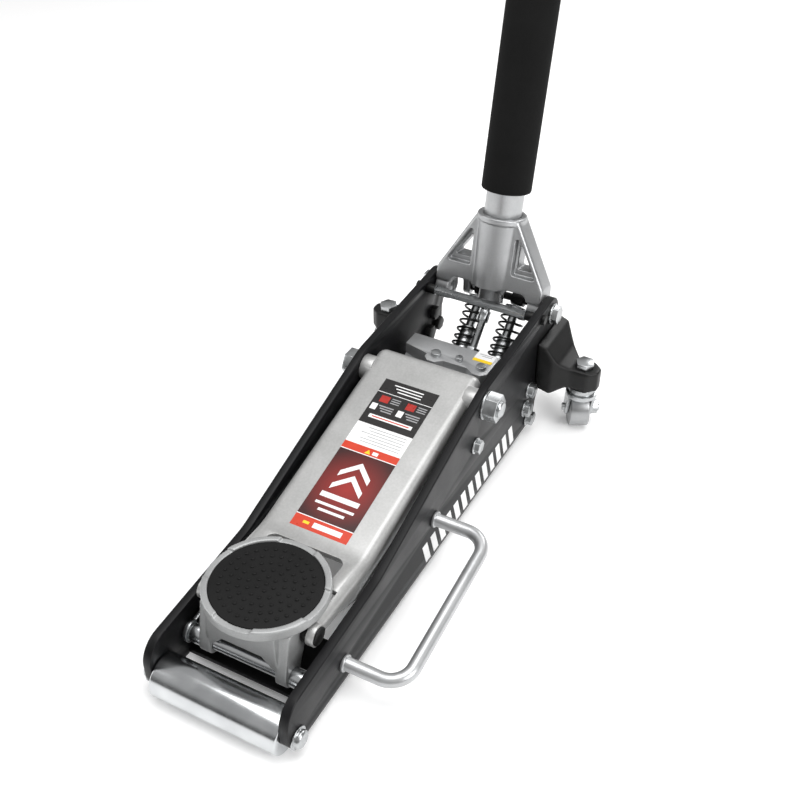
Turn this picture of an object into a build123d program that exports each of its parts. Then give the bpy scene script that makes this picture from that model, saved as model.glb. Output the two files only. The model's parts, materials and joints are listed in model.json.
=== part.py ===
"""Low-profile hydraulic floor jack with an aluminium frame, twin pump and two-piece handle.

+X points forward to the saddle, +Y to the operator's left, +Z up; the floor is z = 0.
The origin is the centre of the footprint of the whole jack with its handle upright.
"""
from build123d import *
import os
from math import atan2, cos, degrees, radians, sin, sqrt

os.makedirs("parts", exist_ok=True)

# ---------------------------------------------------------------- driving dimensions (mm)
frame_half = 68.0  # centre plane to the outer face of a side plate
plate = 8.0  # side plate thickness
inner_half = frame_half - plate
side_gap = 0.4  # between the side plates and a moving piece that reaches them
running = 0.06  # radial clearance of a shaft that turns in a bore

roller_x = 346.0  # axis of the front roller
roller_r = 19.0
pivot_x = roller_x - 332.0  # main pivot of the lift arm
pivot_z = 112.0
nose_x = roller_x - 57.0  # pivot of the saddle yoke at the arm's front end
nose_z = 69.0
link_dx = 20.0  # from an arm pivot to the radius rod's pivot below it
link_dz = -34.0
saddle_x = roller_x - 69.0
saddle_r = 52.0
saddle_top = 90.2
socket_x = roller_x - 491.0  # pivot of the handle socket, also centre of its universal joint
socket_z = 120.0
lean = 11.5  # handle's lean to the rear at rest, degrees
caster_x = roller_x - 476.0
caster_y = 113.0
caster_yaw = 28.0  # how far the casters are swivelled at rest, degrees
caster_trail = 10.0
wheel_r = 20.0
block_x = roller_x - 385.0  # front face of the pump block
tube_r = 19.0  # lower handle tube, outside
handle_len = 1000.0  # from the socket's pivot to the top of the handle

cheek = 6.0  # wall of the lift arm
arm_half = 54.0
rod_in = 54.6  # inner face of a radius rod
rod_t = 3.6

crank_r = 45.0  # from the main pivot to the pin that the ram pushes
crank_start = 30.0  # the crank's angle behind straight down at rest, degrees
crank_x = pivot_x - crank_r * sin(radians(crank_start))
crank_z = pivot_z - crank_r * cos(radians(crank_start))
bush_r = 10.0
ram_z = pivot_z - crank_r * (1 + cos(radians(crank_start))) / 2
ram_r = 13.0
ram_gap = 1.0  # rest gap between ram head and crank pin

pump_y = 21.0  # each pump plunger from the centre plane
pump_offset = 28.0  # pump axes pass this far behind the socket's pivot
pump_stroke = 20.8
press_r = 29.0  # the press pin's radius about the socket's pivot
press_angle = 204.0  # the press pin's direction from the socket's pivot, degrees
press_roller_r = 7.0

handle_up = (-sin(radians(lean)), 0.0, cos(radians(lean)))
handle_front = (cos(radians(lean)), 0.0, sin(radians(lean)))
slope = (-sqrt(0.5), 0.0, sqrt(0.5))  # axis of the pumps and the release valve, up to the rear


# ---------------------------------------------------------------- planes and repeated shapes
def side_view(y):
    """Upright plane at y: x forward, y up. Extruding by a negative amount goes to +Y."""
    return Plane.XZ.offset(-y)


def front_view(x):
    """Upright plane at x that faces forward: x to +Y, y up."""
    return Plane(origin=(x, 0, 0), x_dir=(0, 1, 0), z_dir=(1, 0, 0))


def handle_plane(along):
    """Plane square to the handle's axis, this far up from the socket's pivot."""
    here = (socket_x + along * handle_up[0], 0, socket_z + along * handle_up[2])
    return Plane(origin=here, x_dir=(0, 1, 0), z_dir=handle_up)


def socket_front(forward):
    """Plane across the handle socket: x to +Y, y up the handle, this far before its axis."""
    here = (socket_x + forward * handle_front[0], 0, socket_z + forward * handle_front[2])
    return Plane(origin=here, x_dir=(0, 1, 0), z_dir=handle_front)


def socket_side(y):
    """Plane along the handle socket at y: x forward, y up the handle."""
    return Plane(origin=(socket_x, y, socket_z), x_dir=handle_front, z_dir=(0, -1, 0))


def slope_plane(y, up, offset):
    """Plane square to the sloping pump axes: up the slope from the block's rear face."""
    foot_x = socket_x + offset * slope[0] - face_drop * slope[0]
    foot_z = socket_z - offset * slope[2] - face_drop * slope[2]
    here = (foot_x + up * slope[0], y, foot_z + up * slope[2])
    return Plane(origin=here, x_dir=(0, 1, 0), z_dir=slope)


def caster_top(side, z):
    """Level plane on a caster's kingpin axis, with x along the caster's heading."""
    heading = (cos(radians(caster_yaw)), side * sin(radians(caster_yaw)), 0)
    return Plane(origin=(caster_x, side * caster_y, z), x_dir=heading, z_dir=(0, 0, 1))


def caster_side(side, across):
    """Upright plane of a caster at this distance along its axle: x along its heading."""
    axle = (-side * sin(radians(caster_yaw)), cos(radians(caster_yaw)), 0)
    heading = (cos(radians(caster_yaw)), side * sin(radians(caster_yaw)), 0)
    here = (caster_x + across * axle[0], side * caster_y + across * axle[1], 0)
    return Plane(origin=here, x_dir=heading, z_dir=(-axle[0], -axle[1], 0))


def bar_y(x, z, radius, y0, y1, mode=Mode.ADD):
    """A round bar along Y from y0 to y1, or a round hole when mode is SUBTRACT."""
    low, high = min(y0, y1), max(y0, y1)
    with BuildSketch(side_view(low)) as disc:
        with Locations((x, z)):
            Circle(radius)
    extrude(disc.sketch, amount=low - high, mode=mode)


def hex_y(x, z, across_flats, y0, y1):
    """A hexagon prism along Y from y0 to y1."""
    low, high = min(y0, y1), max(y0, y1)
    with BuildSketch(side_view(low)) as flats:
        with Locations((x, z)):
            RegularPolygon(across_flats / 2, 6, major_radius=False)
    extrude(flats.sketch, amount=low - high)


def disc_on(plane, radius, length, mode=Mode.ADD, hole=0.0, at=(0, 0)):
    """A disc or ring that stands on a plane, length thick along its normal."""
    with BuildSketch(plane) as disc:
        with Locations(at):
            Circle(radius)
            if hole > 0:
                Circle(hole, mode=Mode.SUBTRACT)
    extrude(disc.sketch, amount=length, mode=mode)


def slab(plane, corners, thickness, mode=Mode.ADD, both=False):
    """A flat slab with these corners on a plane."""
    with BuildSketch(plane) as flat:
        with BuildLine():
            Polyline(*corners, close=True)
        make_face()
    extrude(flat.sketch, amount=thickness, both=both, mode=mode)


def save(part, label):
    """Label a finished sub-part and write it as its own STEP file."""
    part.label = label
    export_step(part, f"parts/{label}.step")


sides = {"left": 1, "right": -1}

# ---------------------------------------------------------------- side plates
link_x = pivot_x + link_dx  # rear pivots of the radius rods
link_z = pivot_z + link_dz
stop_bar_x = roller_x - 464.0
stop_bar_z = 128.0
axle_r = 6.0
pivot_bolt_r = 8.0
link_bolt_r = 5.0
socket_bolt_r = 6.0
m8_r = 4.0
m5_r = 2.5
plate_bottom = 8.0
block_bolts = [(roller_x - 442, 56), (roller_x - 434, 37), (roller_x - 444, 19)]
bracket_bolts = [(roller_x - 476, 91), (roller_x - 486, 72.5), (roller_x - 466, 72.5)]
carry_feet = [(roller_x - 71, 30), (roller_x - 230, 54)]
carry_out = 53.0
carry_r = 6.0
spigot_r = 4.0

nose_corners = [(roller_x + 11.5, plate_bottom), (roller_x + 11.5, 57.5)]
top_corners = [(roller_x - 130, 67.5), (roller_x - 335, 129), (roller_x - 508.5, 138.5)]
rear_corners = [(roller_x - 508.5, 104), (roller_x - 488, 62), (roller_x - 464, 30)]
plate_corners = nose_corners + top_corners + rear_corners + [(roller_x - 460, plate_bottom)]
corner_radii = [17, 22, 60, 60, 20, 16, 14, 14, 5]


def side_plate(side):
    """One side plate of the frame, cut from 8 mm aluminium, with all its bolt holes."""
    with BuildPart() as body:
        with BuildSketch(side_view(inner_half if side > 0 else -frame_half)) as outline:
            with BuildLine():
                FilletPolyline(*plate_corners, radius=corner_radii, close=True)
            make_face()
        extrude(outline.sketch, amount=-plate)
        chamfer(body.faces().filter_by(Axis.Y).sort_by(Axis.Y)[-1 if side > 0 else 0].edges(), 0.8)
        holes = [(roller_x, roller_r, axle_r), (pivot_x, pivot_z, pivot_bolt_r)]
        holes += [(link_x, link_z, link_bolt_r), (socket_x, socket_z, socket_bolt_r)]
        holes += [(stop_bar_x, stop_bar_z, m5_r)]
        holes += [(x, z, m8_r) for x, z in block_bolts + bracket_bolts]
        if side > 0:
            holes += [(x, z, spigot_r) for x, z in carry_feet]
        for x, z, radius in holes:
            bar_y(x, z, radius, side * (inner_half - 1), side * (frame_half + 1), Mode.SUBTRACT)
    return body.part


for name, side in sides.items():
    save(side_plate(side), f"side_plate_{name}")

# ---------------------------------------------------------------- front of the frame

with BuildPart() as front_cross_plate:
    slab(
        Plane.XY.offset(9),
        [
            (roller_x - 34, -inner_half),
            (roller_x - 34, inner_half),
            (roller_x - 96, inner_half),
            (roller_x - 96, -inner_half),
        ],
        5,
    )
save(front_cross_plate.part, "front_cross_plate")

with BuildPart() as front_axle:
    bar_y(roller_x, roller_r, axle_r, -frame_half, frame_half)
save(front_axle.part, "front_axle")

with BuildPart() as nose_bolts:
    for side in (1, -1):
        bar_y(roller_x, roller_r, 10, side * frame_half, side * (frame_half + 1.6))
        bar_y(roller_x, roller_r, 8, side * (frame_half + 1.6), side * (frame_half + 6.4))
    fillet(nose_bolts.edges().filter_by(GeomType.CIRCLE).group_by(Axis.Y)[-1], 3)
    fillet(nose_bolts.edges().filter_by(GeomType.CIRCLE).group_by(Axis.Y)[0], 3)
save(nose_bolts.part, "nose_bolts")

roller_half = inner_half - side_gap
with BuildPart() as front_roller:
    bar_y(roller_x, roller_r, roller_r, -roller_half, roller_half)
    chamfer(front_roller.edges().filter_by(GeomType.CIRCLE), 1.0)
    bar_y(roller_x, roller_r, roller_r - 3.5, -roller_half + 8, roller_half - 8, Mode.SUBTRACT)
    bar_y(roller_x, roller_r, axle_r + running, -roller_half, roller_half, Mode.SUBTRACT)
save(front_roller.part, "front_roller")

# ---------------------------------------------------------------- carry handle on the left plate
rear_foot, front_foot = carry_feet[1], carry_feet[0]
with BuildPart() as carry_handle:
    with BuildLine() as bent_bar:
        FilletPolyline(
            (front_foot[0], frame_half, front_foot[1]),
            (front_foot[0], frame_half + carry_out, front_foot[1]),
            (rear_foot[0], frame_half + carry_out, rear_foot[1]),
            (rear_foot[0], frame_half, rear_foot[1]),
            radius=20,
        )
    with BuildSketch(side_view(frame_half)) as bar_section:
        with Locations(front_foot):
            Circle(carry_r)
    sweep(bar_section.sketch, path=bent_bar.line)
    for x, z in carry_feet:
        bar_y(x, z, spigot_r, inner_half, frame_half)
        bar_y(x, z, carry_r + 1.5, frame_half, frame_half + 2.5)
save(carry_handle.part, "carry_handle")

# ---------------------------------------------------------------- main pivot and rod pivots
with BuildPart() as main_pivot_bolt:
    bar_y(pivot_x, pivot_z, pivot_bolt_r, -frame_half, frame_half + 17)
    hex_y(pivot_x, pivot_z, 24, -frame_half - 10, -frame_half)
    chamfer(main_pivot_bolt.faces().sort_by(Axis.Y)[-1].edges(), 1.2)
save(main_pivot_bolt.part, "main_pivot_bolt")

with BuildPart() as main_pivot_nut:
    hex_y(pivot_x, pivot_z, 24, frame_half + 1.6, frame_half + 14)
    bar_y(pivot_x, pivot_z, 14, frame_half, frame_half + 1.6)
    bar_y(pivot_x, pivot_z, pivot_bolt_r + 0.02, frame_half, frame_half + 15, Mode.SUBTRACT)
save(main_pivot_nut.part, "main_pivot_nut")

with BuildPart() as radius_rod_bolts:
    for side in (1, -1):
        bar_y(link_x, link_z, link_bolt_r, side * (rod_in - 0.3), side * frame_half)
        bar_y(link_x, link_z, 8, side * (rod_in + rod_t + 0.3), side * inner_half)
        bar_y(link_x, link_z, 8, side * frame_half, side * (frame_half + 1.5))
        hex_y(link_x, link_z, 12, side * (frame_half + 1.5), side * (frame_half + 6.5))
save(radius_rod_bolts.part, "radius_rod_bolts")

# ---------------------------------------------------------------- lift arm
web = 5.0
arm_top = [(roller_x - 356, 127.5), (roller_x - 139, 76.3), (roller_x - 48, 78.3)]
arm_nose = [(roller_x - 48, 60), (roller_x - 92, 56), (roller_x - 120, 44), (roller_x - 175, 42)]
arm_crank = [(roller_x - 285, 55), (roller_x - 345, 58), (roller_x - 366, 62), (roller_x - 366, 84)]
arm_corners = arm_top + arm_nose + arm_crank + [(roller_x - 356, 100)]
arm_radii = [9, 60, 9, 8, 16, 30, 40, 20, 8, 9, 14, 6]
hook_x = roller_x - 276.0  # cross pin that holds the return springs
hook_z = 70.0
pin_r = 5.5

with BuildPart() as lift_arm:
    with BuildSketch(side_view(-arm_half)) as arm_outline:
        with BuildLine():
            FilletPolyline(*arm_corners, radius=arm_radii, close=True)
        make_face()
    extrude(arm_outline.sketch, amount=-2 * arm_half)
    upper = [e for e in lift_arm.edges() if e.center().Z > 76 and abs(abs(e.center().Y) - arm_half) < 0.1]
    long_top = [e for e in upper if e.center().X > roller_x - 362 and e.length > 60]
    fillet(long_top, 9)
    inner = arm_half - cheek
    slab(
        side_view(-inner),
        [
            (roller_x - 350, 127.5 - 1.4 - web - 0.3),
            (roller_x - 139, 76.3 - web - 0.3),
            (roller_x - 20, 78.3 - web),
            (roller_x - 20, 20),
            (roller_x - 380, 20),
            (roller_x - 380, 102),
            (roller_x - 350, 102),
        ],
        -2 * inner,
        mode=Mode.SUBTRACT,
    )
    slab(
        side_view(-inner),
        [(roller_x - 97, 30), (roller_x - 97, 95), (roller_x - 20, 95), (roller_x - 20, 30)],
        -2 * inner,
        mode=Mode.SUBTRACT,
    )
    with BuildSketch(Plane.XY.offset(60)) as web_opening:
        with Locations((roller_x - 100, 0)):
            RectangleRounded(60, 74, 8)
    extrude(web_opening.sketch, amount=30, mode=Mode.SUBTRACT)
    for side in (1, -1):
        bar_y(nose_x, nose_z, 9.5, side * inner, side * (arm_half + 0.5))
        bar_y(pivot_x, pivot_z, 12.5, side * inner, side * (inner_half - side_gap))
    bar_y(nose_x, nose_z, pin_r, -arm_half - 1, arm_half + 1, Mode.SUBTRACT)
    bar_y(crank_x, crank_z, 7, -arm_half - 1, arm_half + 1, Mode.SUBTRACT)
    bar_y(hook_x, hook_z, 3, -arm_half - 1, arm_half + 1, Mode.SUBTRACT)
    bar_y(pivot_x, pivot_z, pivot_bolt_r + running, -inner_half, inner_half, Mode.SUBTRACT)
save(lift_arm.part, "lift_arm")

with BuildPart() as crank_pin:
    bar_y(crank_x, crank_z, 7, -arm_half, arm_half)
save(crank_pin.part, "crank_pin")

with BuildPart() as crank_bush:
    bar_y(crank_x, crank_z, bush_r, -26, 26)
    bar_y(crank_x, crank_z, 7, -26, 26, Mode.SUBTRACT)
save(crank_bush.part, "crank_bush")

with BuildPart() as spring_hook_pin:
    bar_y(hook_x, hook_z, 3, -arm_half, arm_half)
save(spring_hook_pin.part, "spring_hook_pin")

yoke_in, yoke_out = 31.0, 42.0  # inner and outer faces of the saddle yoke's ears
with BuildPart() as arm_front_pins:
    for side in (1, -1):
        bar_y(nose_x, nose_z, pin_r, side * yoke_in, side * (arm_half + 1.9))
        bar_y(nose_x, nose_z, 8, side * (yoke_out + 0.3), side * (arm_half - cheek))
        bar_y(nose_x, nose_z, 8, side * (arm_half + 0.5), side * (arm_half + 1.9))
save(arm_front_pins.part, "arm_front_pins")

# ---------------------------------------------------------------- saddle yoke and radius rods
tie_x = nose_x + link_dx  # lower pin of the yoke
tie_z = nose_z + link_dz
tie_r = 6.5
dish_bottom = 80.3
yoke_top = dish_bottom - 0.3
yoke_floor = 72.0
stem_r = 10.0
on_saddle = (saddle_x, 0)

with BuildPart() as saddle_yoke:
    with BuildSketch(Plane.XY.offset(yoke_floor)) as table:
        with Locations((saddle_x, 0)):
            Circle(yoke_out)
    extrude(table.sketch, amount=yoke_top - yoke_floor)
    for side in (1, -1):
        with BuildSketch(side_view(yoke_in if side > 0 else -yoke_out)) as ear:
            with BuildLine():
                Polyline(
                    (nose_x - 13, yoke_top),
                    (nose_x + 21, yoke_top),
                    (tie_x + 9.8, tie_z + 2),
                    (tie_x - 9.8, tie_z - 1),
                    close=True,
                )
            make_face()
            with Locations((tie_x, tie_z)):
                Circle(10)
        extrude(ear.sketch, amount=yoke_in - yoke_out)
    skirt_x = saddle_x + 33
    slab(
        front_view(skirt_x),
        [
            (-yoke_in - 2, yoke_top),
            (yoke_in + 2, yoke_top),
            (yoke_in + 2, 44),
            (yoke_in - 4, 44),
            (yoke_in - 12, 53),
            (-yoke_in + 12, 53),
            (-yoke_in + 4, 44),
            (-yoke_in - 2, 44),
        ],
        7,
    )
    disc_on(Plane.XY.offset(yoke_floor - 1), stem_r + running, 12, Mode.SUBTRACT, at=on_saddle)
    bar_y(nose_x, nose_z, pin_r + running, -inner_half, inner_half, Mode.SUBTRACT)
    bar_y(tie_x, tie_z, tie_r + 0.02, -inner_half, inner_half, Mode.SUBTRACT)
save(saddle_yoke.part, "saddle_yoke")

with BuildPart() as link_pin:
    bar_y(tie_x, tie_z, tie_r, -rod_in - rod_t - 1.3, rod_in + rod_t + 1.3)
    for side in (1, -1):
        bar_y(tie_x, tie_z, 8.5, side * (yoke_out + 0.05), side * (rod_in - 0.3))
        bar_y(tie_x, tie_z, 8.5, side * (rod_in + rod_t + 0.3), side * (rod_in + rod_t + 1.2))
save(link_pin.part, "link_pin")

for name, side in sides.items():
    with BuildPart() as radius_rod:
        inner_face = rod_in if side > 0 else -rod_in - rod_t
        run_x, run_z = tie_x - link_x, tie_z - link_z
        with BuildSketch(side_view(inner_face)) as flat_bar:
            with Locations(((tie_x + link_x) / 2, (tie_z + link_z) / 2)):
                Rectangle(sqrt(run_x**2 + run_z**2), 15, rotation=degrees(atan2(run_z, run_x)))
            with Locations((tie_x, tie_z), (link_x, link_z)):
                Circle(10)
        extrude(flat_bar.sketch, amount=-rod_t)
        bar_y(tie_x, tie_z, tie_r + running, inner_face - 1, inner_face + rod_t + 1, Mode.SUBTRACT)
        bar_y(link_x, link_z, link_bolt_r + running, inner_face - 1, inner_face + rod_t + 1, Mode.SUBTRACT)
    save(radius_rod.part, f"radius_rod_{name}")

# ---------------------------------------------------------------- saddle
pad_r = 46.5
pad_top = 89.6
rim_gap = 34.0  # width of the four lower stretches between the rim's raised lugs
rim_gap_depth = saddle_top - dish_bottom - 8.0
rim_gap_start = 0.0
with BuildPart() as saddle_dish:
    disc_on(Plane.XY.offset(dish_bottom), saddle_r, 5.7, at=on_saddle)
    disc_on(Plane.XY.offset(dish_bottom), saddle_r, saddle_top - dish_bottom, hole=pad_r + 0.1, at=on_saddle)
    disc_on(Plane.XY.offset(63), stem_r, dish_bottom - 63, at=on_saddle)
    with Locations((saddle_x, 0, dish_bottom + 8.0 + rim_gap_depth / 2)):
        with PolarLocations(saddle_r, 4, start_angle=rim_gap_start):
            Box(20, rim_gap, rim_gap_depth, mode=Mode.SUBTRACT)
save(saddle_dish.part, "saddle_dish")

with BuildPart() as saddle_pad:
    disc_on(Plane.XY.offset(dish_bottom + 5.7), pad_r, pad_top - dish_bottom - 5.7, at=on_saddle)
save(saddle_pad.part, "saddle_pad")

with BuildPart() as saddle_retainer:
    disc_on(Plane.XY.offset(yoke_floor - 2.3), 14, 2.0, hole=stem_r, at=on_saddle)
save(saddle_retainer.part, "saddle_retainer")

# ---------------------------------------------------------------- return springs
anchor_z = 20.0
spring_y = 36.0
with BuildPart() as spring_anchor_bar:
    bar_y(hook_x, anchor_z, 4, -inner_half, inner_half)
save(spring_anchor_bar.part, "spring_anchor_bar")

with BuildPart() as return_springs:
    for side in (1, -1):
        length = hook_z - anchor_z - 7
        disc_on(Plane.XY.offset(anchor_z + 4), 6.5, length, hole=4.5, at=(hook_x, side * spring_y))
save(return_springs.part, "return_springs")

# ---------------------------------------------------------------- pump block, ram and reservoir
face_drop = 65.0  # from the socket's pivot down the slope to the block's rear face
block_half = 47.5
block_top = 106.0
block_foot = 12.0
rod_r = 4.0  # release rod
barrel_bore = 5.05
plunger_r = 5.0
rear_x = roller_x - 519 + block_top  # top edge of the sloping rear face
rear_z = rear_x - roller_x + 519
low_x = roller_x - 478

with BuildPart() as pump_block:
    slab(
        side_view(-block_half),
        [
            (block_x, block_foot),
            (block_x, block_top - 16),
            (rear_x, rear_z),
            (low_x, low_x - roller_x + 519),
            (low_x, block_foot),
        ],
        -2 * block_half,
    )
    slab(
        Plane.XY.offset(block_top - 16),
        [(block_x + 3, 46), (block_x + 8, 41), (block_x + 8, 33), (block_x + 2, 24), (block_x + 2, -1)]
        + [(block_x + 8, -8), (block_x + 8, -16), (block_x + 3, -21), (block_x - 2, -21)]
        + [(block_x - 8, -block_half), (rear_x, -block_half), (rear_x, 46)],
        16,
    )
    for x, z in block_bolts:
        bar_y(x, z, 8, -inner_half, -block_half)
        bar_y(x, z, 8, block_half, inner_half)
        bar_y(x, z, m8_r, -inner_half, -block_half + 12, Mode.SUBTRACT)
        bar_y(x, z, m8_r, block_half - 12, inner_half, Mode.SUBTRACT)
    with BuildSketch(front_view(block_x)) as ram_bore:
        with Locations((0, ram_z)):
            Circle(ram_r + running)
    extrude(ram_bore.sketch, amount=-50, mode=Mode.SUBTRACT)
    for side in (1, -1):
        disc_on(slope_plane(side * pump_y, 0, pump_offset), 5.4, -19, Mode.SUBTRACT)
    disc_on(slope_plane(0, 0, 0), rod_r + running, -14, Mode.SUBTRACT)
    with Locations((block_x - 4, 37, block_top), (block_x - 4, -12, block_top), (block_x - 7, 12, block_top)):
        Hole(m5_r, 12)
save(pump_block.part, "pump_block")

with BuildPart() as block_cap_screws:
    for x, y, head_r in ((block_x - 4, 37, 5), (block_x - 4, -12, 5), (block_x - 7, 12, 3.8)):
        disc_on(Plane.XY.offset(block_top), head_r, 3.2, at=(x, y))
        disc_on(Plane.XY.offset(block_top - 12), m5_r, 12, at=(x, y))
save(block_cap_screws.part, "block_cap_screws")

with BuildPart() as block_bolt_set:
    for x, z in block_bolts:
        for side in (1, -1):
            bar_y(x, z, m8_r, side * (block_half - 12), side * frame_half)
            bar_y(x, z, 9, side * frame_half, side * (frame_half + 1.5))
            hex_y(x, z, 13, side * (frame_half + 1.5), side * (frame_half + 7))
save(block_bolt_set.part, "block_bolts")

head_x = crank_x - bush_r - ram_gap
with BuildPart() as ram:
    disc_on(front_view(block_x - 45), ram_r, head_x - block_x + 45 - 6, at=(0, ram_z))
    with BuildSketch(front_view(head_x - 6)) as push_head:
        with Locations((0, ram_z)):
            RectangleRounded(50, 28, 5)
    extrude(push_head.sketch, amount=6)
save(ram.part, "ram")

with BuildPart() as ram_gland:
    disc_on(front_view(block_x), 19, 8, hole=ram_r + running, at=(0, ram_z))
save(ram_gland.part, "ram_gland")

tank_z = 30.5
tank_r = 18.0
with BuildPart() as reservoir_tube:
    disc_on(front_view(block_x), tank_r, 101, at=(0, tank_z))
    fillet(reservoir_tube.faces().sort_by(Axis.X)[-1].edges(), 4)
    disc_on(front_view(block_x), tank_r - 2.5, 97, Mode.SUBTRACT, at=(0, tank_z))
    disc_on(Plane.XY.offset(tank_z + 8), 4, 14, Mode.SUBTRACT, at=(block_x + 60, 0))
save(reservoir_tube.part, "reservoir_tube")

with BuildPart() as filler_plug:
    disc_on(Plane.XY.offset(tank_z + 12), 4, tank_r - 12, at=(block_x + 60, 0))
    disc_on(Plane.XY.offset(tank_z + tank_r), 6, 1.4, at=(block_x + 60, 0))
save(filler_plug.part, "filler_plug")

# ---------------------------------------------------------------- twin pumps
barrel_top = 32.0
plunger_top = 67.9
with BuildPart() as pump_barrels:
    for side in (1, -1):
        disc_on(slope_plane(side * pump_y, 0, pump_offset), 12.5, 6, hole=barrel_bore)
        disc_on(slope_plane(side * pump_y, 6, pump_offset), 8.5, barrel_top - 6, hole=barrel_bore)
save(pump_barrels.part, "pump_barrels")

for name, side in sides.items():
    with BuildPart() as pump_plunger:
        disc_on(slope_plane(side * pump_y, 4, pump_offset), plunger_r, plunger_top - 4)
        disc_on(slope_plane(side * pump_y, 63.3, pump_offset), 12.3, 2.7)
    save(pump_plunger.part, f"pump_plunger_{name}")
    with BuildPart() as pump_spring:
        disc_on(slope_plane(side * pump_y, 6.3, pump_offset), 13.3, 56.7, hole=10.8)
    save(pump_spring.part, f"pump_spring_{name}")

# ---------------------------------------------------------------- release valve and its rod
ball_r = 7.0
cross_pin_half = 12.5
cross_pin_r = 2.0
with BuildPart() as valve_gland:
    with BuildSketch(slope_plane(0, 0, 0)) as gland_flats:
        RegularPolygon(8, 6)
        Circle(rod_r + running, mode=Mode.SUBTRACT)
    extrude(gland_flats.sketch, amount=8)
save(valve_gland.part, "valve_gland")

with BuildPart() as release_rod:
    disc_on(slope_plane(0, -12, 0), rod_r, face_drop + 12 - 5)
    with Locations((socket_x, 0, socket_z)):
        Sphere(ball_r)
    bar_y(socket_x, socket_z, cross_pin_r, -cross_pin_half, cross_pin_half)
save(release_rod.part, "release_rod")

with BuildPart() as release_sleeve:
    disc_on(slope_plane(0, 37, 0), 5.75, 12, hole=rod_r)
save(release_sleeve.part, "release_sleeve")

# ---------------------------------------------------------------- handle socket
socket_half = 58.5
collar_top = 90.0
lug_in, lug_out = 33.0, 41.0
press_x = socket_x + press_r * cos(radians(press_angle))
press_z = socket_z + press_r * sin(radians(press_angle))

with BuildPart() as handle_socket:
    slab(
        socket_front(0),
        [
            (-socket_half, 9),
            (-socket_half, 25),
            (-23, collar_top - 2),
            (23, collar_top - 2),
            (socket_half, 25),
            (socket_half, 9),
        ],
        14,
        both=True,
    )
    upper_edges = [e for e in handle_socket.edges() if e.length > 60 and abs(e.center().Y) > 30 and e.center().Z > 160]
    fillet(upper_edges, 4)
    for side in (1, -1):
        window = [(side * 26, 39), (side * 26, 65), (side * 43, 39)]
        slab(socket_front(0), window, 20, Mode.SUBTRACT, both=True)
        pocket = [(side * 23, 33), (side * 23, 71), (side * 27, 71), (side * 47.5, 36), (side * 47.5, 33)]
        slab(socket_front(6), pocket, 10, Mode.SUBTRACT)
        slab(
            socket_front(-20),
            [(side * 17, -1), (side * 17, 12), (side * 21, 16), (side * 38, 16), (side * 42, 12), (side * 42, -1)],
            40,
            Mode.SUBTRACT,
        )
        bar_y(socket_x, socket_z, 14, side * 44, side * socket_half)
        slab(
            socket_side(lug_in if side > 0 else -lug_out),
            [(-8, 17), (-13, 34), (-24, 20), (-36.5, -4), (-22.5, -13), (-14, 14)],
            -(lug_out - lug_in),
        )
        bar_y(press_x, press_z, 8.5, side * lug_in, side * lug_out)
    with BuildSketch(handle_plane(14)) as boss_foot:
        Circle(22)
    with BuildSketch(handle_plane(collar_top - 6)) as boss_head:
        Circle(23.5)
    loft([boss_foot.sketch, boss_head.sketch])
    disc_on(handle_plane(collar_top - 6), 25, 6)
    disc_on(handle_plane(-20), tube_r + running, 34.01, Mode.SUBTRACT)
    disc_on(handle_plane(13), tube_r + running, collar_top, Mode.SUBTRACT)
    bar_y(socket_x, socket_z, socket_bolt_r + running, -inner_half, -40, Mode.SUBTRACT)
    bar_y(socket_x, socket_z, socket_bolt_r + running, 40, inner_half, Mode.SUBTRACT)
    bar_y(press_x, press_z, 4, -inner_half, inner_half, Mode.SUBTRACT)
save(handle_socket.part, "handle_socket")

with BuildPart() as socket_bolts:
    for side in (1, -1):
        bar_y(socket_x, socket_z, socket_bolt_r, side * 45, side * frame_half)
        bar_y(socket_x, socket_z, 11, side * frame_half, side * (frame_half + 2))
        hex_y(socket_x, socket_z, 17, side * (frame_half + 2), side * (frame_half + 8))
save(socket_bolts.part, "socket_bolts")

with BuildPart() as press_rollers:
    bar_y(press_x, press_z, 4, -lug_out, lug_out)
    for side in (1, -1):
        bar_y(press_x, press_z, press_roller_r, side * (pump_y - 7), side * (pump_y + 7))
save(press_rollers.part, "press_rollers")

with BuildPart() as stop_bar:
    with Locations((stop_bar_x, 0, stop_bar_z)):
        Box(8, 100, 5)
    for side in (1, -1):
        bar_y(stop_bar_x, stop_bar_z, 5, side * 50, side * inner_half)
        bar_y(stop_bar_x, stop_bar_z, m5_r, side * inner_half, side * frame_half)
        bar_y(stop_bar_x, stop_bar_z, 5, side * frame_half, side * (frame_half + 3.5))
save(stop_bar.part, "stop_bar")

# ---------------------------------------------------------------- handle
joint_from, joint_to = 470.0, 560.0  # the upper tube sits in the lower tube between these
wall = 3.0
snap_at = 545.0
snap_r = 4.0
with BuildPart() as handle_tube_lower:
    disc_on(handle_plane(16), tube_r, joint_to - 16, hole=tube_r - wall)
    disc_on(socket_front(0), snap_r + running, 30, Mode.SUBTRACT, at=(0, snap_at))
save(handle_tube_lower.part, "handle_tube_lower")

with BuildPart() as handle_foam:
    disc_on(handle_plane(115), 25, 406, hole=tube_r)
    fillet(handle_foam.edges().filter_by(GeomType.CIRCLE).group_by(Axis.Z)[-1].sort_by(SortBy.RADIUS)[-1], 4)
save(handle_foam.part, "handle_foam")

upper_r = tube_r - wall
with BuildPart() as handle_tube_upper:
    disc_on(handle_plane(joint_from), upper_r, handle_len - 3 - joint_from, hole=upper_r - 2.5)
    disc_on(socket_front(0), snap_r + running, 30, Mode.SUBTRACT, at=(0, snap_at))
save(handle_tube_upper.part, "handle_tube_upper")

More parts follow.
